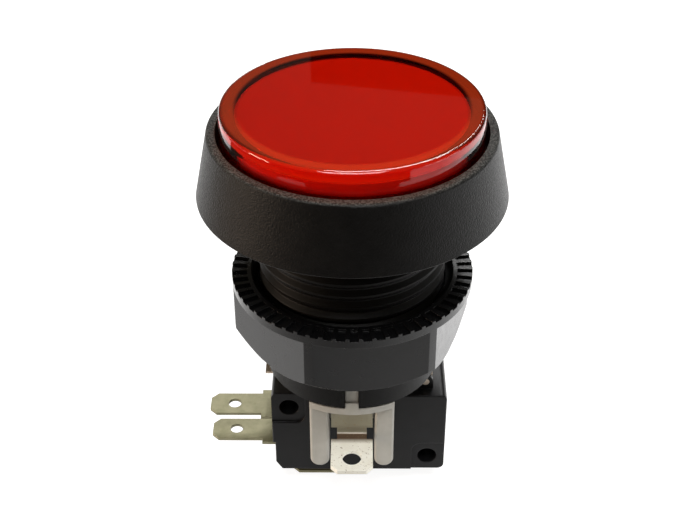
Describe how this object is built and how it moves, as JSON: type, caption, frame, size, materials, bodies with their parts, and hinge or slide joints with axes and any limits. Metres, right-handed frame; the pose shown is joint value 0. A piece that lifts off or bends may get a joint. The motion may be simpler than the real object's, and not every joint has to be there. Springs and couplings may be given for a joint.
{
  "type": "pushbutton switch",
  "caption": "Round lighted panel pushbutton: red lens in a black bezel, threaded barrel with flanged hex nut, grey lamp holder and snap-action switch with push-on tabs.",
  "frame": {"origin": "centre of the bezel's underside, the face that lies on the panel", "axes": "+Z along the barrel towards the lens, -Y towards the front lamp terminal, -X towards the side tabs"},
  "size_m": [0.0455, 0.045, 0.0679],
  "materials": {
    "bezel_black": "fine moulded grain, satin black",
    "nut_black": "smooth moulded, dark grey black",
    "red_lens": "clear red, polished",
    "diffuser_white": "translucent white",
    "plunger_white": "smooth natural white",
    "spring_steel": "drawn wire",
    "holder_grey": "smooth warm grey",
    "lamp_glass": "clear glass",
    "lamp_tab_metal": "tinned, lightly spotted",
    "switch_tab_metal": "dull plated",
    "switch_black": "smooth moulded black",
    "lever_steel": "rolled sheet",
    "pin_plastic": "smooth",
    "contact_silver": "silver alloy",
    "blade_copper": "spring copper alloy"
  },
  "bodies": {
    "housing": {"bezel_barrel": "bezel_black", "lamp_holder": "holder_grey", "lamp": "lamp_glass", "front_lamp_terminal": "lamp_tab_metal", "rear_lamp_terminal": "lamp_tab_metal", "switch_case": "switch_black", "switch_cover": "switch_black", "lever_pin": "lever_steel", "nc_terminal": "switch_tab_metal", "no_terminal": "switch_tab_metal", "common_terminal": "switch_tab_metal", "nc_contact": "contact_silver", "no_contact": "contact_silver", "return_spring": "spring_steel", "snap_spring": "spring_steel"},
    "button": {"lens_cap": "red_lens", "diffuser": "diffuser_white", "plunger": "plunger_white"},
    "nut": {"mounting_nut": "nut_black"},
    "lever": {"switch_lever": "lever_steel"},
    "pin": {"switch_pin": "pin_plastic"},
    "blade": {"snap_blade": "blade_copper", "moving_contact": "contact_silver"}
  },
  "joints": [
    {"name": "button_press", "type": "slide", "parent": "housing", "child": "button", "axis": [0, 0, -1], "range_m": [0, 0.00165], "stiffness_N_per_m": 400, "springref_m": -0.004, "deforming": ["return_spring"]},
    {"name": "lever_swing", "type": "hinge", "parent": "housing", "child": "lever", "pos_m": [0.0116, 0, -0.03353], "axis": [0, -1, 0], "range_deg": [0, 4.8]},
    {"name": "pin_press", "type": "slide", "parent": "housing", "child": "pin", "axis": [0, 0, -1], "range_m": [0, 0.0008]},
    {"name": "blade_snap", "type": "hinge", "parent": "housing", "child": "blade", "pos_m": [0.009, 0, -0.04289], "axis": [0, -1, 0], "range_deg": [0, 6.6], "deforming": ["snap_spring"]},
    {"name": "nut_run", "type": "slide", "parent": "housing", "child": "nut", "axis": [0, 0, 1], "range_m": [-0.005, 0.0132]}
  ],
  "couplings": [
    {"joint": "lever_swing", "follows": "button_press", "rad_per_m": 50.251},
    {"joint": "pin_press", "follows": "button_press", "ratio": 0.47739},
    {"joint": "blade_snap", "follows": "button_press", "rad_per_m": 69.186}
  ]
}
